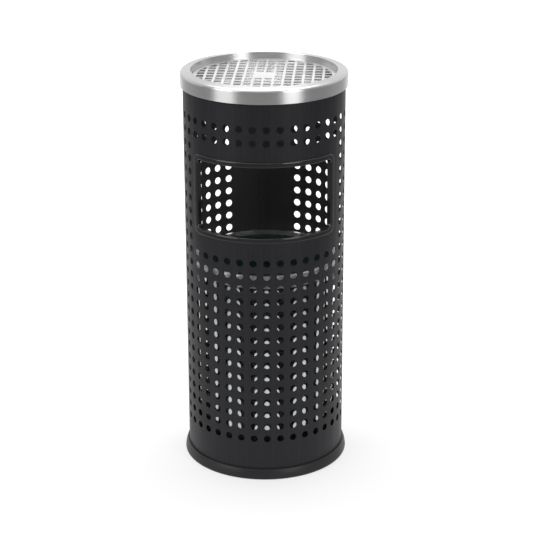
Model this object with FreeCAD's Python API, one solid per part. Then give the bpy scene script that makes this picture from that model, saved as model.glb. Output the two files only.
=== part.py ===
import FreeCAD, Part
import math
import os

# Ashtray bin: a perforated steel cylinder with a litter window in its front, a lift-off
# stainless ashtray with a grid on top, and a loose steel bucket inside.
# Millimetres, +Z up, front towards -Y, origin on the floor under the cylinder's axis.

Vec = FreeCAD.Vector
CENTRE = Vec(0, 0, 0)
UP = Vec(0, 0, 1)

# ---- driving dimensions ----
overall_height = 620.0          # floor to the lip of the ashtray rim
shell_radius = 122.2            # outside of the rolled sheet
shell_sheet = 0.8
moving_gap = 0.3                # between a lift-off piece and what it stands on
fit_gap = 0.1                   # between pieces pushed together

# perforation
hole_diameter = 10.9
hole_pitch = 20.44              # square pitch, along the sheet and up it
first_row_height = 67.3
solid_below_rim = 50.0          # solid band from the floor side of the lip down to the last holes
seam_angle = 181.8              # place of the seam, counted from the front
seam_lap = 12.0
seam_solid_width = 26.0         # least width without holes around the seam
back_strip_half_angle = 22.0    # solid strip round the seam, above the bucket
lap_end_gap = 2.0               # between the lap and the pieces above and below it
closing_line_turn = 4.0         # degrees from the lap's middle to the tube's closing line
punch_past = 2.0                # how far a punch runs past the sheet
cut_past = 5.0                  # how far a cutting shape runs past a face
window_solid_margin = 9.0       # least solid sheet between the bezel and a hole

# litter window and its moulded bezel
window_half_angle = 53.2
window_height = 107.8
window_below_lip = 118.6        # from the lip down to the top of the window
window_corner = 7.0
bezel_width = 8.2
bezel_thick = 2.2
bezel_corner = 12.0
bezel_edge_round = 1.9
lip_thick = 1.6
lip_depth = 4.6                 # how far the lip runs inside the sheet
backing_thick = 2.0
backing_width = 6.5
backing_corner = 11.0

# base ring
base_height = 16.5
base_flare = 6.0                # widest point, outside the sheet
base_widest_height = 3.0
base_foot_round = 2.0
base_belly_in = 1.1             # a point of the bulged side, in from the widest line
base_belly_height = 9.6
base_top_round = 0.7
base_top_wall = 2.7             # at the top edge, outside the sheet
base_web = 2.5
base_inner_wall = 2.5
base_inner_height = 12.5
boss_radius = 5.2
boss_inset = 0.8                # from the foot's inner edge to the boss
boss_rise = 1.3                 # bosses stand above the ring's inner wall
screw_count = 4
screw_radius = 1.9
screw_head_radius = 3.6
screw_head_height = 2.2
screw_counterbore = 3.0
screw_stick_out = 2.2
screw_head_round = 0.8
screw_slot_width = 1.0
screw_slot_length = 4.7
screw_slot_depth = 1.0
screw_tip_length = 1.5
screw_tip_radius = 0.5

# floor plate
floor_sheet = 1.0
floor_flange = 12.0
floor_bend = 2.0

# plastic edging on the top edge of the sheet
edging_web = 2.0
edging_leg = 1.75
edging_height = 13.0
edging_round = 1.0
edging_below_lip = 3.0

# ashtray: rim, bowl and grid
rim_sheet = 0.7
rim_overhang = 3.8              # outside of the skirt, beyond the shell
rim_skirt = 23.0                # lip to lower edge of the skirt
rim_shoulder = 1.9              # lip height above the shoulder
rim_round = 4.6
rim_width = 16.0
rim_hem = 3.2
rim_hem_pitch = 0.9
rim_hem_bend = 0.44
rim_lip_bend = 1.3
ledge_bend = 1.0
rim_step = 11.6                 # lip down to the ledge that carries the grid
rim_wall_lean = 1.0
ledge_width = 5.9
bowl_sheet = 0.6
bowl_depth = 45.0
bowl_taper = 3.7
bowl_bend = 9.0
bowl_throat_bend = 2.0
bowl_flange_inset = 0.8         # flange stops short of the ledge's outer bend
grid_sheet = 1.0
grid_rim_gap = 1.2
grid_border = 5.4
grid_pitch_x = 14.75
grid_pitch_y = 16.2
grid_hole_x = 11.3
grid_hole_y = 12.3
grid_hub_radius = 18.0
grid_turn = -3.0
grid_hole_round = 0.8
grid_edge_round = 0.3
grid_least_share = 0.22         # a cut-off hole smaller than this share is left out

# bucket
bucket_gap = 17.0               # outside of the shell to the outside of the bucket
bucket_sheet = 0.6
bucket_rim_below_window = 65.6
bucket_shift = Vec(1.3, 1.3, 0)  # it stands loose, a little off the axis
bucket_floor_sheet = 0.7
bucket_floor_lift = 6.0
bucket_floor_bend = 1.5
collar_sheet = 0.7
collar_height = 16.0
collar_stand_out = 4.5
collar_tail = 4.5
collar_inner_leg = 6.5
collar_round = 2.0
collar_bend = 1.0
collar_step_rise = 0.8
collar_tuck_bend = 0.4
bead_wire_radius = 1.6

# bail handle and its lugs
bail_wire_radius = 1.5
bail_leg_gap = 0.5              # legs to the collar
bail_hoop_gap = 0.57            # hoop to the collar's top edge as it swings over
bail_rest_gap = 0.67            # hoop to the bucket's wall where it hangs
bail_leg_blend = 25.0           # between each leg and the hoop
bail_bend = 2.0
bail_end = 2.2                  # wire left inside the lug
lug_height = 18.0
lug_sheet = 1.5
lug_below_collar = 0.5
lug_corner = 1.95
lug_draw_in = 8.0               # drawn this far inside the wall, then trimmed to it
lug_half_width = 9.0
lug_foot = 10.0
lug_rivet_radius = 1.6
lug_rivet_head = 3.0
lug_rivet_head_height = 1.1
lug_rivet_head_round = 0.66
lug_rivet_tail = 2.4
lug_hole_gap = 0.1

# ---- sizes worked out from those ----
shell_inside = shell_radius - shell_sheet
lip_z = overall_height
shell_top = lip_z - edging_below_lip - edging_web
shell_bottom = base_web
window_top = lip_z - window_below_lip
window_bottom = window_top - window_height
floor_top = base_inner_height + boss_rise + floor_sheet
bucket_radius = shell_radius - bucket_gap
base_ledge = bucket_gap - shell_sheet    # the flat foot reaches in as far as the bucket's wall
bucket_bottom = floor_top + moving_gap
bucket_top = window_bottom - bucket_rim_below_window
lug_stand_off = collar_stand_out - lug_sheet    # the lug's face is flush with the collar
pivot_below_rim = collar_height + collar_tail + lug_below_collar + lug_height / 2
pivot_z = bucket_top - pivot_below_rim
collar_radius = bucket_radius + collar_stand_out
bail_leg_radius = collar_radius + bail_wire_radius + bail_leg_gap
bail_hoop_radius = math.hypot(collar_radius, pivot_below_rim) + bail_wire_radius + bail_hoop_gap
bail_below_level = math.acos((bucket_radius + bail_wire_radius + bail_rest_gap) / bail_hoop_radius)
bail_hang_angle = 90 + math.degrees(bail_below_level)
ledge_z = lip_z - rim_step
rim_radius = shell_radius + rim_overhang
QUARTER_BOW = 1 - math.sqrt(0.5)  # a quarter circle's middle, in from its corner, by radius


def angle_of(width, radius):
    """Degrees that a width takes up around a circle."""
    return math.degrees(width / radius)


def turned(shape, degrees):
    """A copy turned about the vertical axis."""
    copy = shape.copy()
    copy.rotate(CENTRE, UP, degrees)
    return copy


def polygon_face(points):
    return Part.Face(Part.makePolygon([Vec(r, 0, z) for r, z in points + points[:1]]))


def spun(face):
    return face.revolve(CENTRE, UP, 360)


def offset_corner(before, corner, after, distance):
    """Corner of a path shifted sideways by distance, to the left of its direction."""
    def unit(a, b):
        length = math.hypot(b[0] - a[0], b[1] - a[1])
        return ((b[0] - a[0]) / length, (b[1] - a[1]) / length)
    first = unit(before, corner)
    second = unit(corner, after)
    scale = distance / (1 + first[0] * second[0] + first[1] * second[1])
    normal = (-first[1] - second[1], first[0] + second[0])
    turn = first[0] * second[1] - first[1] * second[0]
    return (corner[0] + normal[0] * scale, corner[1] + normal[1] * scale), turn


def offset_path(points, bends, distance):
    """Edges of a bent path, shifted sideways; each inner point has its centre line bend."""
    def shifted_end(a, b, at):
        length = math.hypot(b[0] - a[0], b[1] - a[1])
        return (at[0] - (b[1] - a[1]) / length * distance, at[1] + (b[0] - a[0]) / length * distance)
    corners = [shifted_end(points[0], points[1], points[0])]
    radii = [0.0]
    for i in range(1, len(points) - 1):
        corner, turn = offset_corner(points[i - 1], points[i], points[i + 1], distance)
        corners.append(corner)
        radii.append(bends[i - 1] - math.copysign(distance, turn))
    corners.append(shifted_end(points[-2], points[-1], points[-1]))
    edges = []
    start = Vec(corners[0][0], 0, corners[0][1])
    for i in range(1, len(corners) - 1):
        here = Vec(corners[i][0], 0, corners[i][1])
        back = (Vec(corners[i - 1][0], 0, corners[i - 1][1]) - here).normalize()
        ahead = (Vec(corners[i + 1][0], 0, corners[i + 1][1]) - here).normalize()
        half = back.getAngle(ahead) / 2
        reach = radii[i] / math.tan(half)
        arc_start = here + back * reach
        arc_end = here + ahead * reach
        middle = (back + ahead).normalize()
        arc_mid = here + middle * (radii[i] / math.sin(half) - radii[i])
        edges.append(Part.makeLine(start, arc_start))
        edges.append(Part.Arc(arc_start, arc_mid, arc_end).toShape())
        start = arc_end
    edges.append(Part.makeLine(start, Vec(corners[-1][0], 0, corners[-1][1])))
    return edges


def spun_sheet(points, bends, thickness):
    """Ring or dish of bent sheet, from the (radius, height) centre line of its section."""
    left = offset_path(points, bends, thickness / 2)
    right = offset_path(points, bends, -thickness / 2)
    first_cap = Part.makeLine(left[0].Vertexes[0].Point, right[0].Vertexes[0].Point)
    last_cap = Part.makeLine(left[-1].Vertexes[-1].Point, right[-1].Vertexes[-1].Point)
    outline = Part.Wire(Part.__sortEdges__(left + right + [first_cap, last_cap]))
    return spun(Part.Face(outline))


def curved_plate(inner, outer, low, high, half_angle, corner):
    """Plate bent round the axis, centred on the front, with rounded corners."""
    section = polygon_face([(inner, low), (outer, low), (outer, high), (inner, high)])
    wedge = section.revolve(CENTRE, UP, 2 * half_angle)
    corners = [e for e in wedge.Edges
               if isinstance(e.Curve, Part.Line) and e.BoundBox.ZLength < 1e-6]
    return turned(wedge.makeFillet(corner, corners), -90 - half_angle)


def window_plate(inner, outer, grow):
    """The window's outline, grown by a width on every side."""
    return curved_plate(inner, outer, window_bottom - grow, window_top + grow,
                        window_half_angle + angle_of(grow, shell_radius), window_corner + grow)


def save(name, shape):
    solids = shape.Solids
    for solid in solids:
        if not solid.isValid() or solid.Volume <= 0:
            raise ValueError(name + " is not a sound solid")
    body = solids[0] if len(solids) == 1 else Part.makeCompound(solids)
    body.exportStep("parts/" + name + ".step")
    print(name, len(solids), "solid(s)", round(sum(s.Volume for s in solids) / 1000, 2), "cm3")


# ---- shell ----
def hole_angles():
    """Angle of each column of holes from the front, spread evenly away from the seam."""
    step = angle_of(hole_pitch, shell_radius)
    columns = int((360 - angle_of(seam_solid_width, shell_radius)) / step / 2)
    middle = seam_angle - 180
    return [middle + step * k for k in range(-columns, columns + 1)]


def hole_heights():
    rows = int((lip_z - solid_below_rim - hole_diameter / 2 - first_row_height) / hole_pitch)
    return [first_row_height + hole_pitch * i for i in range(rows + 1)]


def in_window_field(angle, height):
    """True in the plain field of sheet in front, round the window."""
    reach = bezel_width + window_solid_margin + hole_diameter / 2
    side = window_half_angle + angle_of(reach - window_solid_margin / 2, shell_radius)
    from_front = abs((angle + 180) % 360 - 180)
    return from_front < side and window_bottom - reach < height < window_top + reach


def in_back_strip(angle, height):
    """True in the plain strip of sheet round the seam, from the bucket's rim up."""
    from_seam = abs((angle - seam_angle + 180) % 360 - 180)
    top = window_top + bezel_width + window_solid_margin + hole_diameter / 2
    return from_seam < back_strip_half_angle and bucket_top < height < top


def hole_punches():
    punch = Part.makeCylinder(hole_diameter / 2, shell_sheet + 2 * punch_past,
                              Vec(shell_inside - punch_past, 0, 0), Vec(1, 0, 0))
    punches = []
    for angle in hole_angles():
        column = turned(punch, angle - 90)
        for height in hole_heights():
            if not in_window_field(angle, height) and not in_back_strip(angle, height):
                copy = column.copy()
                copy.translate(Vec(0, 0, height))
                punches.append(copy)
    print("holes", len(punches))
    return punches


def make_shell():
    """One rolled sheet, lapped at the back and spot-welded."""
    height = shell_top - shell_bottom
    tube = Part.makeCylinder(shell_radius, height, Vec(0, 0, shell_bottom))
    tube = tube.cut(Part.makeCylinder(shell_inside, height, Vec(0, 0, shell_bottom)))
    lap_low = floor_top + floor_flange + lap_end_gap
    lap_high = shell_top - edging_height - lap_end_gap
    lap = Part.makeCylinder(shell_inside, lap_high - lap_low, Vec(0, 0, lap_low), UP,
                            angle_of(seam_lap, shell_radius))
    lap = lap.cut(Part.makeCylinder(shell_inside - shell_sheet, lap_high - lap_low, Vec(0, 0, lap_low)))
    lap = turned(lap, seam_angle - 90 - angle_of(seam_lap, shell_radius) / 2)
    tube = turned(tube, seam_angle - 90 + closing_line_turn).fuse(lap)
    tube = tube.cut(window_plate(shell_inside - cut_past, shell_radius + cut_past, lip_thick + fit_gap))
    return tube.cut(Part.makeCompound(hole_punches()))


# ---- base ----
def around(shape, radius, count, start=45.0):
    """Copies of a shape on a circle."""
    moved = shape.copy()
    moved.translate(Vec(radius, 0, 0))
    return [turned(moved, start + 360 / count * i) for i in range(count)]


def screw_circle():
    return shell_inside - base_ledge + boss_radius + boss_inset


def make_base_ring():
    """Moulded ring with a groove for the sheet, a flat foot, and screw bosses."""
    outer_top = shell_radius + base_top_wall
    widest = shell_radius + base_flare
    groove_out = shell_radius + fit_gap
    groove_in = shell_inside - fit_gap
    inner_wall = groove_in - base_inner_wall
    foot = shell_inside - base_ledge
    rest = [(outer_top - base_top_round, base_height), (groove_out, base_height),
            (groove_out, base_web), (groove_in, base_web), (groove_in, base_inner_height),
            (inner_wall, base_inner_height), (inner_wall, base_web), (foot, base_web), (foot, 0)]
    foot_end = Vec(widest - base_foot_round, 0, 0)
    foot_mid = Vec(widest - QUARTER_BOW * base_foot_round, 0, QUARTER_BOW * base_widest_height)
    widest_point = Vec(widest, 0, base_widest_height)
    belly = Vec(widest - base_belly_in, 0, base_belly_height)
    shoulder = Vec(outer_top, 0, base_height - base_top_round)
    bow = QUARTER_BOW * base_top_round
    edges = [Part.makeLine(Vec(foot, 0, 0), foot_end),
             Part.Arc(foot_end, foot_mid, widest_point).toShape(),
             Part.Arc(widest_point, belly, shoulder).toShape(),
             Part.Arc(shoulder, Vec(outer_top - bow, 0, base_height - bow),
                      Vec(rest[0][0], 0, rest[0][1])).toShape()]
    edges += [Part.makeLine(Vec(a[0], 0, a[1]), Vec(b[0], 0, b[1])) for a, b in zip(rest, rest[1:])]
    ring = spun(Part.Face(Part.Wire(edges)))
    boss = Part.makeCylinder(boss_radius, floor_top - floor_sheet)
    ring = ring.fuse(around(boss, screw_circle(), screw_count)).removeSplitter()
    bore = Part.makeCylinder(screw_radius + fit_gap, floor_top)
    bore = bore.fuse(Part.makeCylinder(screw_head_radius + 2 * fit_gap, screw_counterbore))
    return ring.cut(Part.makeCompound(around(bore, screw_circle(), screw_count)))


def make_base_screws():
    head = Part.makeCylinder(screw_head_radius, screw_head_height)
    head.translate(Vec(0, 0, screw_counterbore - screw_head_height))
    rim = [e for e in head.Edges if abs(e.BoundBox.ZMax - head.BoundBox.ZMin) < 1e-6]
    head = head.makeFillet(screw_head_round, rim)
    slot = Part.makeBox(screw_slot_width, screw_slot_length, screw_slot_depth)
    slot.translate(Vec(-screw_slot_width / 2, -screw_slot_length / 2, head.BoundBox.ZMin))
    cross = slot.fuse(turned(slot, 90))
    shank_top = floor_top + screw_stick_out
    shank = Part.makeCylinder(screw_radius, shank_top - screw_counterbore - screw_tip_length,
                              Vec(0, 0, screw_counterbore))
    tip = Part.makeCone(screw_radius, screw_tip_radius, screw_tip_length,
                        Vec(0, 0, shank_top - screw_tip_length))
    screw = head.fuse([shank, tip]).cut(cross)
    return Part.makeCompound(around(screw, screw_circle(), screw_count))


def make_floor_plate():
    """Pressed disc with a flange turned up against the sheet."""
    middle = floor_top - floor_sheet / 2
    edge = shell_inside - floor_sheet / 2 - fit_gap / 2
    points = [(0, middle), (edge, middle), (edge, middle + floor_flange)]
    plate = spun_sheet(points, [floor_bend], floor_sheet)
    hole = Part.makeCylinder(screw_radius + fit_gap, 3 * floor_sheet)
    hole.translate(Vec(0, 0, floor_top - 2 * floor_sheet))
    return plate.cut(Part.makeCompound(around(hole, screw_circle(), screw_count)))


# ---- window ----
def make_bezel():
    """Moulding pushed into the window from the front: crowned flange and a lip inside."""
    face = shell_radius + bezel_thick
    low = window_bottom - bezel_width
    high = window_top + bezel_width
    half = window_half_angle + angle_of(bezel_width, shell_radius)
    flange = curved_plate(shell_radius, face, low, high, half, bezel_corner)
    lip = window_plate(shell_inside - lip_depth, face, lip_thick)
    bezel = flange.fuse(lip).cut(window_plate(shell_inside - 2 * lip_depth, face + cut_past, 0))
    bezel = bezel.removeSplitter()

    def on_face(edge):
        ends = [v.Point for v in edge.Vertexes]
        return all(abs(math.hypot(p.x, p.y) - face) < 1e-4 for p in ends)
    crown = [e for e in bezel.Edges if on_face(e)]
    return bezel.makeFillet(bezel_edge_round, crown)


def make_backing_frame():
    """Frame snapped over the lip from inside, so that the sheet's cut edge is covered."""
    inner = shell_inside - backing_thick
    gap = lip_thick + fit_gap
    low = window_bottom - gap - backing_width
    high = window_top + gap + backing_width
    half = window_half_angle + angle_of(gap + backing_width, shell_radius)
    frame = curved_plate(inner, shell_inside, low, high, half, backing_corner)
    return frame.cut(window_plate(inner - cut_past, shell_inside + cut_past, gap))


# ---- top edging ----
def make_edging():
    """Plastic channel on the sheet's top edge, which the ashtray rim sits on."""
    out = shell_radius + edging_leg
    inside = shell_inside - edging_leg
    top = shell_top + edging_web
    low = top - edging_height
    channel = spun(polygon_face([(inside, low), (shell_inside - fit_gap / 2, low),
                                 (shell_inside - fit_gap / 2, shell_top),
                                 (shell_radius + fit_gap / 2, shell_top),
                                 (shell_radius + fit_gap / 2, low), (out, low), (out, top), (inside, top)]))
    rims = [e for e in channel.Edges if abs(e.BoundBox.ZMin - top) < 1e-6
            and abs(e.BoundBox.ZMax - top) < 1e-6]
    return channel.makeFillet(edging_round, rims)


# ---- ashtray ----
def make_rim():
    """Stainless ring: hemmed skirt, rounded shoulder, sloping top, and a ledge for the grid."""
    out = rim_radius - rim_sheet / 2
    skirt_low = lip_z - rim_skirt + rim_sheet / 2
    lip = lip_z - rim_sheet / 2
    inner = rim_radius - rim_width + rim_sheet / 2
    ledge = ledge_z - rim_sheet / 2
    points = [(out - rim_hem_pitch, skirt_low + rim_hem), (out - rim_hem_pitch, skirt_low),
              (out, skirt_low), (out, lip - rim_shoulder), (inner, lip),
              (inner - rim_wall_lean, ledge), (inner - rim_wall_lean - ledge_width, ledge)]
    bends = [rim_hem_bend, rim_hem_bend, rim_round, rim_lip_bend, ledge_bend]
    return spun_sheet(points, bends, rim_sheet)


def ledge_inner_radius():
    return rim_radius - rim_width + rim_sheet / 2 - rim_wall_lean - ledge_width


def make_bowl():
    """Pressed bowl, spot-welded under the rim's ledge."""
    top = ledge_z - rim_sheet - bowl_sheet / 2
    throat = ledge_inner_radius() - bowl_sheet / 2
    flange = throat + ledge_width - bowl_flange_inset
    points = [(flange, top), (throat, top), (throat - bowl_taper, top - bowl_depth),
              (0, top - bowl_depth)]
    return spun_sheet(points, [bowl_throat_bend, bowl_bend], bowl_sheet)


def grid_openings(radius):
    """Rectangles of the grid's pattern, trimmed by the border and by the solid hub."""
    field = Part.makeCylinder(radius, grid_sheet * 3).cut(
        Part.makeCylinder(grid_hub_radius, grid_sheet * 3))
    full = grid_hole_x * grid_hole_y * grid_sheet * 3
    columns = int(radius / grid_pitch_x) + 1
    rows = int(radius / grid_pitch_y) + 1
    openings = []
    for i in range(-columns, columns):
        for j in range(-rows, rows):
            block = Part.makeBox(grid_hole_x, grid_hole_y, grid_sheet * 3)
            uprights = [e for e in block.Edges if e.BoundBox.ZLength > grid_sheet]
            block = block.makeFillet(grid_hole_round, uprights)
            block.translate(Vec((i + 0.5) * grid_pitch_x - grid_hole_x / 2,
                                (j + 0.5) * grid_pitch_y - grid_hole_y / 2, 0))
            near = math.hypot(i + 0.5, j + 0.5) < 1
            piece = block.common(field)
            if not near and piece.Volume > grid_least_share * full:
                openings += piece.Solids
    print("grid openings", len(openings))
    return openings


def make_grid():
    """Punched stainless disc that lies loose on the rim's ledge."""
    radius = ledge_inner_radius() + ledge_width - rim_sheet / 2 - grid_rim_gap
    low = ledge_z + moving_gap / 2
    disc = Part.makeCylinder(radius, grid_sheet)
    edges = [e for e in disc.Edges if abs(e.BoundBox.ZMin - grid_sheet) < 1e-6]
    disc = disc.makeFillet(grid_edge_round, edges)
    openings = Part.makeCompound(grid_openings(radius - grid_border))
    openings.translate(Vec(0, 0, -grid_sheet))
    grid = turned(disc.cut(openings), grid_turn)
    grid.translate(Vec(0, 0, low))
    return grid


# ---- bucket ----
def make_bucket_wall():
    height = bucket_top - collar_sheet - fit_gap - bucket_bottom
    wall = Part.makeCylinder(bucket_radius, height, Vec(0, 0, bucket_bottom))
    wall = wall.cut(Part.makeCylinder(bucket_radius - bucket_sheet, height, Vec(0, 0, bucket_bottom)))
    return wall.cut(Part.makeCompound(lug_rivet_places(rivet_shank(fit_gap / 2))))


def make_bucket_floor():
    """Pressed floor, set in above the bucket's lower edge."""
    middle = bucket_bottom + bucket_floor_lift
    edge = bucket_radius - bucket_sheet - fit_gap / 2 - bucket_floor_sheet / 2
    points = [(0, middle), (edge, middle), (edge, bucket_bottom)]
    return spun_sheet(points, [bucket_floor_bend], bucket_floor_sheet)


def make_collar():
    """Rolled stiffening band that caps the top edge of the bucket."""
    half = collar_sheet / 2
    wall = bucket_radius + fit_gap / 2 + half
    out = bucket_radius + collar_stand_out - half
    top = bucket_top - half
    low = bucket_top - collar_height
    inner = bucket_radius - bucket_sheet - fit_gap / 2 - half
    points = [(wall, low - collar_tail), (wall, low), (out, low + collar_step_rise), (out, top), (inner, top),
              (inner, top - collar_inner_leg)]
    return spun_sheet(points, [collar_bend, collar_bend, collar_round, collar_tuck_bend], collar_sheet)


def make_bead_wire():
    """Steel wire inside the corner of the rolled band."""
    offset = collar_sheet + fit_gap + bead_wire_radius
    return Part.makeTorus(bucket_radius + collar_stand_out - offset, bead_wire_radius,
                          Vec(0, 0, bucket_top - offset))


# ---- lugs, rivets and bail ----
def rivet_shank(grow):
    return Part.makeCylinder(lug_rivet_radius + grow, bucket_sheet + lug_sheet,
                             Vec(bucket_radius - bucket_sheet, 0, pivot_z), Vec(1, 0, 0))


def lug_rivet_places(shape):
    """A shape drawn at the right of the bucket, copied to every lug foot."""
    foot = angle_of(lug_half_width + lug_foot / 2 + lug_sheet / 2, bucket_radius)
    return [turned(shape, side + swing) for side in (0, 180) for swing in (-foot, foot)]


def make_lug():
    """Hat-shaped bracket on the right side, its feet bent to the bucket's wall."""
    out = bucket_radius + lug_stand_off + lug_sheet
    half = lug_half_width
    reach = half + lug_foot
    low = pivot_z - lug_height / 2
    start = bucket_radius - lug_draw_in
    block = Part.makeBox(out - start, 2 * reach, lug_height, Vec(start, -reach, low))
    skin = Part.makeCylinder(bucket_radius + lug_sheet, lug_height, Vec(0, 0, low))
    core = Part.makeCylinder(bucket_radius, lug_height, Vec(0, 0, low))
    feet = skin.cut(core).common(block)
    hat = Part.makeBox(out - start, 2 * half, lug_height, Vec(start, -half, low))
    hollow = Part.makeBox(out - lug_sheet - start, 2 * (half - lug_sheet), lug_height,
                          Vec(start, -half + lug_sheet, low))
    corners = [e for e in hat.Edges if e.BoundBox.ZLength > lug_height / 2
               and e.BoundBox.XMin > bucket_radius]
    hat = hat.makeFillet(lug_corner, corners).cut(hollow).cut(core)
    lug = feet.cut(hollow).fuse(hat).removeSplitter()
    eye = Part.makeCylinder(bail_wire_radius + lug_hole_gap, 3 * lug_sheet,
                            Vec(out - 2 * lug_sheet, 0, pivot_z), Vec(1, 0, 0))
    rivets = lug_rivet_places(rivet_shank(fit_gap / 2))[:2]
    return lug.cut(Part.makeCompound([eye] + rivets))


def make_lug_rivets():
    outer = bucket_radius + lug_sheet
    head = Part.makeCylinder(lug_rivet_head, lug_rivet_head_height, Vec(outer + fit_gap, 0, pivot_z),
                             Vec(1, 0, 0))
    tail_x = bucket_radius - bucket_sheet - fit_gap - lug_rivet_head_height
    tail = Part.makeCylinder(lug_rivet_tail, lug_rivet_head_height, Vec(tail_x, 0, pivot_z),
                             Vec(1, 0, 0))
    rim = [e for e in head.Edges if e.BoundBox.XMin > outer + fit_gap + lug_rivet_head_height / 2
           and e.BoundBox.XLength < 1e-6]
    head = head.makeFillet(lug_rivet_head_round, rim)
    shank = Part.makeCylinder(lug_rivet_radius, bucket_sheet + lug_sheet + 2 * fit_gap,
                              Vec(bucket_radius - bucket_sheet - fit_gap, 0, pivot_z), Vec(1, 0, 0))
    return Part.makeCompound(lug_rivet_places(head.fuse([shank, tail])))


def bail_side(sign):
    """Centre line of one side, from the wire's end in the lug to the start of the hoop."""
    leg = bail_leg_radius
    inside = bucket_radius + lug_stand_off - bail_end
    bow = QUARTER_BOW * bail_bend
    centre_x = leg - bail_leg_blend
    centre_z = math.sqrt((bail_hoop_radius - bail_leg_blend) ** 2 - centre_x ** 2)
    end = math.atan2(centre_z, centre_x)
    flat = lambda x, z: Vec(sign * x, 0, z)
    blend_mid = flat(centre_x + bail_leg_blend * math.cos(end / 2),
                     centre_z + bail_leg_blend * math.sin(end / 2))
    hoop_start = flat(bail_hoop_radius * math.cos(end), bail_hoop_radius * math.sin(end))
    return [Part.makeLine(flat(inside, 0), flat(leg - bail_bend, 0)),
            Part.Arc(flat(leg - bail_bend, 0), flat(leg - bow, bow), flat(leg, bail_bend)).toShape(),
            Part.makeLine(flat(leg, bail_bend), flat(leg, centre_z)),
            Part.Arc(flat(leg, centre_z), blend_mid, hoop_start).toShape()], hoop_start


def make_bail():
    """Wire handle: hoop on two short legs, their ends turned in through the lugs, hanging behind."""
    right, right_end = bail_side(1)
    left, left_end = bail_side(-1)
    hoop = Part.Arc(right_end, Vec(0, 0, bail_hoop_radius), left_end).toShape()
    path = Part.Wire(Part.__sortEdges__(right + [hoop] + left))
    start = bucket_radius + lug_stand_off - bail_end
    section = Part.Wire(Part.makeCircle(bail_wire_radius, Vec(start, 0, 0), Vec(1, 0, 0)))
    bail = path.makePipeShell([section], True, True)
    bail.rotate(CENTRE, Vec(1, 0, 0), -bail_hang_angle)
    bail.translate(Vec(0, 0, pivot_z))
    return bail


def shifted(shape):
    """A bucket piece, drawn on the axis, at the bucket's own place."""
    copy = shape.copy()
    copy.translate(bucket_shift)
    return copy


os.makedirs("parts", exist_ok=True)
save("body_shell", make_shell())
save("base_ring", make_base_ring())
save("base_screws", make_base_screws())
save("floor_plate", make_floor_plate())
save("window_bezel", make_bezel())
save("window_backing_frame", make_backing_frame())
save("top_edging", make_edging())
save("ashtray_rim", make_rim())
save("ash_bowl", make_bowl())
save("ash_grid", make_grid())
save("bucket_wall", shifted(make_bucket_wall()))
save("bucket_floor", shifted(make_bucket_floor()))
save("bucket_collar", shifted(make_collar()))
save("bucket_bead_wire", shifted(make_bead_wire()))
save("lug_right", shifted(make_lug()))
save("lug_left", shifted(turned(make_lug(), 180)))
save("lug_rivets", shifted(make_lug_rivets()))
save("bail_handle", shifted(make_bail()))
print("pivot", round(bucket_shift.x, 2), round(bucket_shift.y, 2), round(pivot_z, 2))
print("bail hangs at", round(bail_hang_angle, 2), "degrees from upright, hoop", round(bail_hoop_radius, 2))
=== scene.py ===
# %% [markdown]
# # A perforated ashtray bin
# The bin is a tall rolled steel cylinder with rows of round holes, a litter window in its
# front, a loose bucket inside and a stainless ashtray resting on top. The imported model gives
# every piece its true size and place. This lesson gives each one its finish, and stands the
# bin on a lit table in a white room.

# %% load the frame
import math

import bpy
from mathutils import Matrix, Vector

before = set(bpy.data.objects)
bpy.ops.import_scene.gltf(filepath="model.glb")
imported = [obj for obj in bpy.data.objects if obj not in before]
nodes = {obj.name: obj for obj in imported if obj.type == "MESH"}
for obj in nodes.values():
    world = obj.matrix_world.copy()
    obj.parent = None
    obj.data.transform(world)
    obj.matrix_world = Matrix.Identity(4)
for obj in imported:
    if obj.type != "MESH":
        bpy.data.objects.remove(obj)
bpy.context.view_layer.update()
print("pieces in the frame:", len(nodes))

# %% [markdown]
# ## Camera
# A product picture is taken with a long lens from a little above, so the cylinder's sides stay
# almost parallel. The camera stands two and a half metres in front, at about twice the bin's
# height, and tilts down. The scene is made for a square picture.

# %% camera
camera_distance = 2.4664
camera_height = 1.2170
camera_round = math.radians(0.5)      # it stands a touch to the right of the window's middle
camera_tilt = math.radians(20.294)
camera_yaw = math.radians(0.058)
camera_roll = math.radians(-0.212)
camera_lens = 114.17

camera_data = bpy.data.cameras.new("camera")
camera_data.lens = camera_lens
camera_data.sensor_width = 36.0
camera_data.clip_start = 0.05
camera_data.clip_end = 60.0
camera = bpy.data.objects.new("camera", camera_data)
bpy.context.collection.objects.link(camera)
turn = Matrix.Rotation(camera_round, 4, "Z")
aim = (Matrix.Rotation(-camera_yaw, 4, "Z") @ Matrix.Rotation(math.pi / 2 - camera_tilt, 4, "X")
       @ Matrix.Rotation(camera_roll, 4, "Z"))
camera.matrix_world = turn @ Matrix.Translation((0, -camera_distance, camera_height)) @ aim
bpy.context.scene.camera = camera
print("camera at", tuple(round(v, 3) for v in camera.matrix_world.translation))

# %% [markdown]
# ## Node helpers
# Every finish below is a small node tree. Two helpers keep them readable: one adds a node with
# its settings, the other links a value or a socket into an input.

# %% node helpers
def new_material(name):
    material = bpy.data.materials.new(name)
    material.use_nodes = True
    tree = material.node_tree
    tree.nodes.clear()
    return material, tree


def add(tree, kind, **settings):
    node = tree.nodes.new("ShaderNode" + kind)
    for key, value in settings.items():
        setattr(node, key, value)
    return node


def feed(tree, node, **inputs):
    """Each input is named with _ for a space, or i and its number, and gets a socket or a value."""
    for key, value in inputs.items():
        numbered = key[0] == "i" and key[1:].isdigit()
        socket = node.inputs[int(key[1:]) if numbered else key.replace("_", " ")]
        if isinstance(value, bpy.types.NodeSocket):
            tree.links.new(value, socket)
        else:
            socket.default_value = value
    return node


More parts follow.
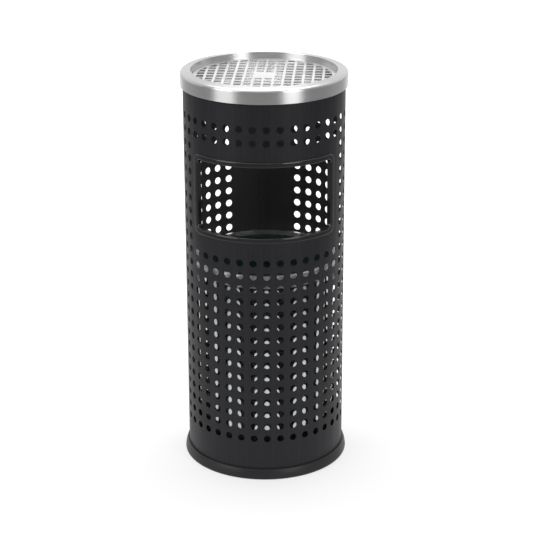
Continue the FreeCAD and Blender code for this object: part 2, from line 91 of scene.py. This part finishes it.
def maths(tree, operation, a, b=0.0, c=0.0):
    node = add(tree, "Math", operation=operation)
    feed(tree, node, i0=a, i1=b)
    if operation == "MULTIPLY_ADD":
        feed(tree, node, i2=c)
    return node.outputs[0]


def object_place(tree):
    return add(tree, "TexCoord").outputs["Object"]


def noise(tree, vector, scale, detail=3.0, rough=0.5):
    node = add(tree, "TexNoise")
    feed(tree, node, Vector=vector, Scale=scale, Detail=detail, Roughness=rough)
    return node.outputs["Fac"]


def ramp(tree, value, low, high, out_low, out_high):
    node = add(tree, "MapRange")
    feed(tree, node, Value=value, From_Min=low, From_Max=high, To_Min=out_low, To_Max=out_high)
    return node.outputs["Result"]


def tint(tree, value, first, second):
    node = add(tree, "ValToRGB")
    node.color_ramp.elements[0].color = (*first, 1)
    node.color_ramp.elements[1].color = (*second, 1)
    feed(tree, node, Fac=value)
    return node.outputs["Color"]


def round_the_axis(tree, along, across):
    """Place measured round the bin: angle, radius and height, each with its own stretch."""
    split = add(tree, "SeparateXYZ")
    feed(tree, split, Vector=object_place(tree))
    x, y = split.outputs["X"], split.outputs["Y"]
    angle = maths(tree, "ARCTAN2", y, x)
    square = maths(tree, "MULTIPLY_ADD", x, x, maths(tree, "MULTIPLY", y, y))
    radius = maths(tree, "SQRT", square)
    join = add(tree, "CombineXYZ")
    feed(tree, join, X=maths(tree, "MULTIPLY", angle, along),
         Y=maths(tree, "MULTIPLY", radius, across),
         Z=maths(tree, "MULTIPLY", split.outputs["Z"], across))
    return join.outputs["Vector"]


def bump(tree, height, distance, strength):
    node = add(tree, "Bump")
    feed(tree, node, Height=height, Distance=distance, Strength=strength)
    return node.outputs["Normal"]


def surface(material, tree, **inputs):
    shader = add(tree, "BsdfPrincipled")
    feed(tree, shader, **inputs)
    output = add(tree, "OutputMaterial")
    feed(tree, output, Surface=shader.outputs["BSDF"])
    return material


print("node helpers ready")

# %% [markdown]
# ## Powder coat
# The sheet is sprayed with dry paint and baked, which leaves a fine pebbled skin. A noise at
# about half a millimetre gives the pebble, and a second, wider one lets the gloss wander a
# little so that long highlights do not look printed. The inside of the rolled sheet gets a
# paler copy of the same paint: painted light, standing in for the light that reaches in there.

# %% powder coat
sheet_inside = 0.1214
sheet_outside = 0.1222


def radius_from_axis(tree, place):
    split = add(tree, "SeparateXYZ")
    feed(tree, split, Vector=place)
    across = maths(tree, "MULTIPLY", split.outputs["X"], split.outputs["X"])
    square = maths(tree, "MULTIPLY_ADD", split.outputs["Y"], split.outputs["Y"], across)
    return maths(tree, "SQRT", square)


def mixed(tree, factor, first, second):
    node = add(tree, "Mix", data_type="RGBA")
    feed(tree, node, i0=factor, i6=first, i7=second)
    return node.outputs[2]


def powder_coat():
    material, tree = new_material("powder coat")
    place = object_place(tree)
    pebble = noise(tree, place, 1500.0, 2.0)
    cloud = noise(tree, place, 22.0, 3.0)
    grain = ramp(tree, pebble, 0.3, 0.7, 0.0, 1.0)
    outside = tint(tree, grain, (0.0095, 0.0093, 0.0112), (0.0150, 0.0147, 0.0172))
    # painted light: the inside (and the floor plate) get a paler copy of the same black paint
    painted_light_inside = tint(tree, grain, (0.034, 0.034, 0.035), (0.050, 0.050, 0.051))
    radius = radius_from_axis(tree, place)
    skin = ramp(tree, radius, sheet_inside, sheet_outside, 0.0, 1.0)
    rough = ramp(tree, cloud, 0.3, 0.7, 0.42, 0.50)
    return surface(material, tree, Base_Color=mixed(tree, skin, painted_light_inside, outside), Roughness=rough,
                   Normal=bump(tree, pebble, 0.00012, 0.55), Specular_IOR_Level=0.17)


print("coated sheet, mm:", round(1000 * (sheet_outside - sheet_inside), 2))

# %% [markdown]
# ## Black mouldings
# The base ring and the channel on the top edge are satin plastic with a fine grain. The window
# bezel is glossier and has a slow ripple, as thin mouldings do.

# %% black mouldings
def moulded_black():
    material, tree = new_material("moulded black")
    place = object_place(tree)
    grain = noise(tree, place, 2200.0, 2.0)
    cloud = noise(tree, place, 30.0, 3.0)
    colour = tint(tree, cloud, (0.010, 0.0098, 0.0112), (0.015, 0.0148, 0.0164))
    rough = ramp(tree, cloud, 0.3, 0.7, 0.36, 0.46)
    return surface(material, tree, Base_Color=colour, Roughness=rough, Specular_IOR_Level=0.22,
                   Normal=bump(tree, grain, 0.00006, 0.4))


def gloss_black():
    material, tree = new_material("gloss black")
    place = object_place(tree)
    ripple = noise(tree, place, 90.0, 1.0)
    smear = noise(tree, place, 40.0, 4.0)
    colour = tint(tree, smear, (0.006, 0.006, 0.0065), (0.010, 0.010, 0.0105))
    rough = ramp(tree, smear, 0.35, 0.7, 0.10, 0.18)
    return surface(material, tree, Base_Color=colour, Roughness=rough,
                   Normal=bump(tree, ripple, 0.0002, 0.12))


print("mouldings: satin and gloss")

# %% [markdown]
# ## Bright metals
# The rim is brushed on a lathe, so its scratches run round it: the noise is squeezed hard
# across the ring and hardly at all along it. The grid and bowl are pressed from bright sheet,
# which the bucket's rolled rim, the wire and the screws share with other tones.

# %% bright metals
def brushed_ring():
    material, tree = new_material("brushed ring")
    lines = noise(tree, round_the_axis(tree, 6.0, 9000.0), 1.0, 3.0, 0.6)
    wide = noise(tree, round_the_axis(tree, 2.0, 700.0), 1.0, 2.0)
    colour = tint(tree, lines, (0.40, 0.40, 0.40), (0.58, 0.58, 0.58))
    rough = ramp(tree, wide, 0.3, 0.7, 0.28, 0.36)
    tangent = add(tree, "Tangent", direction_type="RADIAL", axis="Z").outputs[0]
    return surface(material, tree, Base_Color=colour, Roughness=rough, Metallic=1.0,
                   Normal=bump(tree, lines, 0.00003, 0.35), Anisotropic=0.8,
                   Anisotropic_Rotation=0.25, Tangent=tangent)


def bright_sheet(name, low, high, rough_low, rough_high):
    material, tree = new_material(name)
    place = object_place(tree)
    fine = noise(tree, place, 900.0, 3.0)
    cloud = noise(tree, place, 28.0, 4.0)
    colour = tint(tree, cloud, low, high)
    rough = ramp(tree, cloud, 0.3, 0.7, rough_low, rough_high)
    return surface(material, tree, Base_Color=colour, Roughness=rough, Metallic=1.0,
                   Normal=bump(tree, fine, 0.00003, 0.2))


print("bright metals: brushed ring and bright sheet")

# %% [markdown]
# ## Bucket
# The bucket is bright outside, so it mirrors the white surround through the holes. Inside it
# is a dark blue-green, rougher and far less metallic. The rolled rim is bright metal, made
# brighter still than the bucket wall as a painted highlight.

# %% bucket
bucket_centre = (0.0013, 0.0013)
bucket_inside = 0.1046
bucket_outside = 0.1052


def bucket_sheet():
    material, tree = new_material("bright galvanised")
    place = object_place(tree)
    moved = add(tree, "VectorMath", operation="SUBTRACT")
    feed(tree, moved, i0=place, i1=(*bucket_centre, 0.0))
    radius = radius_from_axis(tree, moved.outputs[0])
    skin = ramp(tree, radius, bucket_inside, bucket_outside, 0.0, 1.0)
    cloud = noise(tree, place, 28.0, 4.0)
    bright = tint(tree, cloud, (0.46, 0.49, 0.49), (0.58, 0.61, 0.61))
    # the inside is a dark blue-green, rougher and far less metallic than the outside
    dull = tint(tree, cloud, (0.022, 0.052, 0.049), (0.042, 0.085, 0.080))
    polish = ramp(tree, cloud, 0.3, 0.7, 0.05, 0.12)
    rough = maths(tree, "ADD", polish, ramp(tree, skin, 0.0, 1.0, 0.35, 0.0))
    return surface(material, tree, Base_Color=mixed(tree, skin, dull, bright), Roughness=rough,
                   Metallic=ramp(tree, skin, 0.0, 1.0, 0.2, 1.0),
                   Normal=bump(tree, noise(tree, place, 900.0, 3.0), 0.00003, 0.2))


print("bucket sheet, mm:", round(1000 * (bucket_outside - bucket_inside), 2))

# %% [markdown]
# ## Which piece gets which finish
# Pieces cut from the same stock share one material with the piece that owns it.

# %% finishes
def grey(level):
    return (level, level, level)


finishes = {
    "body_shell": powder_coat(), "base_ring": moulded_black(), "window_bezel": gloss_black(),
    "ashtray_rim": brushed_ring(),
    "ash_grid": bright_sheet("punched stainless", grey(0.66), grey(0.78), 0.26, 0.38),
    "ash_bowl": bright_sheet("pressed stainless", grey(0.74), grey(0.86), 0.14, 0.26),
    "bucket_wall": bucket_sheet(),
    # the rolled rim and lugs are a brighter copy of the bucket's metal: partly bright metal, partly
    # a painted highlight
    "bucket_collar": bright_sheet("rolled rim painted highlight", (0.80, 0.83, 0.83), (0.92, 0.94, 0.94), 0.30, 0.42),
    "bail_handle": bright_sheet("drawn wire", (0.45, 0.46, 0.47), (0.6, 0.61, 0.62), 0.25, 0.4),
    "base_screws": bright_sheet("zinc plate", (0.42, 0.42, 0.4), (0.56, 0.56, 0.54), 0.3, 0.45),
}
shared = {
    "body_shell": ["floor_plate"], "base_ring": ["top_edging"],
    "window_bezel": ["window_backing_frame"],
    "bucket_wall": ["bucket_floor"], "bucket_collar": ["lug_left", "lug_right"],
    "bail_handle": ["bucket_bead_wire"], "base_screws": ["lug_rivets"],
}


def dress(piece, material):
    piece.data.materials.clear()
    piece.data.materials.append(material)


for owner, material in finishes.items():
    for name in [owner] + shared.get(owner, []):
        dress(nodes[name], material)
print("finishes:", len(finishes))

# %% [markdown]
# ## Studio
# The bin stands on a white glowing table, which gives the even white surround and a faint
# shadow, partly cast by the lamps and partly painted: the table's glow is lowered under the bin.
# A little way in front of the bin and at its sides, widening towards the back, the table's paint
# and glow fall to a dim level, a painted shade that stands in for a dim room. That is what makes
# the middle of the body and rim dark while their edges stay bright.

# %% table
table_front_white = -0.55     # the table is fully white from here back
table_front_dark = -1.15      # and has fallen to its painted shade by here
table_apex = 2.45             # its sides open out from a point this far in front
table_side_white = 0.22       # half width, as a share of the distance from that point
table_side_dark = 0.42
# painted shade: the level that the table's paint and glow fall to in front and at the sides
table_painted_shade = 0.30
table_paint = 0.30            # how much of the lamps' light the white part sends back
table_glow_painted_shadow = 0.58        # lower glow under the bin, a painted contact shadow, which grows to the full glow a metre behind
table_glow_far = 1.0
table_apex_gap = 0.1          # keeps the share finite at the apex itself
table_half = 14.0


def make_table():
    mesh = bpy.data.meshes.new("table")
    corners = [(-table_half, -table_half, 0), (table_half, -table_half, 0),
               (table_half, table_half, 0), (-table_half, table_half, 0)]
    mesh.from_pydata(corners, [], [(0, 1, 2, 3)])
    table = bpy.data.objects.new("table", mesh)
    bpy.context.collection.objects.link(table)
    material, tree = new_material("glowing table")
    split = add(tree, "SeparateXYZ")
    feed(tree, split, Vector=object_place(tree))
    # painted shade: the table's paint and glow fall off in front of the bin and at its sides
    front = ramp(tree, split.outputs["Y"], table_front_dark, table_front_white, table_painted_shade, 1.0)
    from_apex = maths(tree, "ADD", split.outputs["Y"], table_apex)
    from_apex = maths(tree, "MAXIMUM", from_apex, table_apex_gap)
    aside = maths(tree, "DIVIDE", maths(tree, "ABSOLUTE", split.outputs["X"]), from_apex)
    sides = ramp(tree, aside, table_side_white, table_side_dark, 1.0, table_painted_shade)
    unshaded_share = maths(tree, "MINIMUM", front, sides)
    # painted contact shadow: the glow is lower under the bin
    glow = ramp(tree, split.outputs["Y"], 0.0, 1.0, table_glow_painted_shadow, table_glow_far)
    glow = maths(tree, "MULTIPLY", unshaded_share, glow)
    level = maths(tree, "MULTIPLY", unshaded_share, table_paint)
    colour = add(tree, "CombineColor")
    feed(tree, colour, Red=level, Green=level, Blue=level)
    surface(material, tree, Base_Color=colour.outputs["Color"], Roughness=0.9,
            Specular_IOR_Level=0.0, Emission_Color=(1, 1, 1, 1), Emission_Strength=glow)
    mesh.materials.append(material)
    print("table, metres:", 2 * table_half)


make_table()

# %% [markdown]
# ## Lights and room
# One wide soft light hangs overhead, two tall ones stand at the sides and a fill light hangs
# high in front. The room is white behind the bin and above it, and dark on the near side.

# %% lights and room
room_near = 0.28              # brightness of the room in front of the bin
room_far = 1.12               # and behind it
room_dark_until = -0.75       # directions, as the forward share of a unit vector
room_white_from = 0.65


def make_light(name, place, target, width, height, power):
    data = bpy.data.lights.new(name, "AREA")
    data.shape = "RECTANGLE"
    data.size, data.size_y = width, height
    data.energy = power
    lamp = bpy.data.objects.new(name, data)
    bpy.context.collection.objects.link(lamp)
    lamp.location = place
    lamp.rotation_euler = (Vector(target) - Vector(place)).to_track_quat("-Z", "Y").to_euler()
    return lamp


def make_room():
    world = bpy.data.worlds.new("studio")
    world.use_nodes = True
    tree = world.node_tree
    split = add(tree, "SeparateXYZ")
    feed(tree, split, Vector=add(tree, "TexCoord").outputs["Generated"])
    strength = ramp(tree, split.outputs["Y"], room_dark_until, room_white_from,
                    room_near, room_far)
    feed(tree, tree.nodes["Background"], Color=(1, 1, 1, 1), Strength=strength)
    bpy.context.scene.world = world


make_light("overhead", (0, 0.5, 2.6), (0, 0, 0.3), 2.4, 1.6, 60)
make_light("left side", (-1.92, -1.44, 1.0), (0, 0, 0.4), 1.3, 1.6, 24)
make_light("right side", (1.48, -1.9, 1.0), (0, 0, 0.4), 1.0, 1.6, 24)
make_light("front fill", (-0.5, -2.2, 2.8), (0, 0, 0.5), 2.4, 1.4, 16)
make_room()
bpy.context.scene.view_settings.view_transform = "Standard"
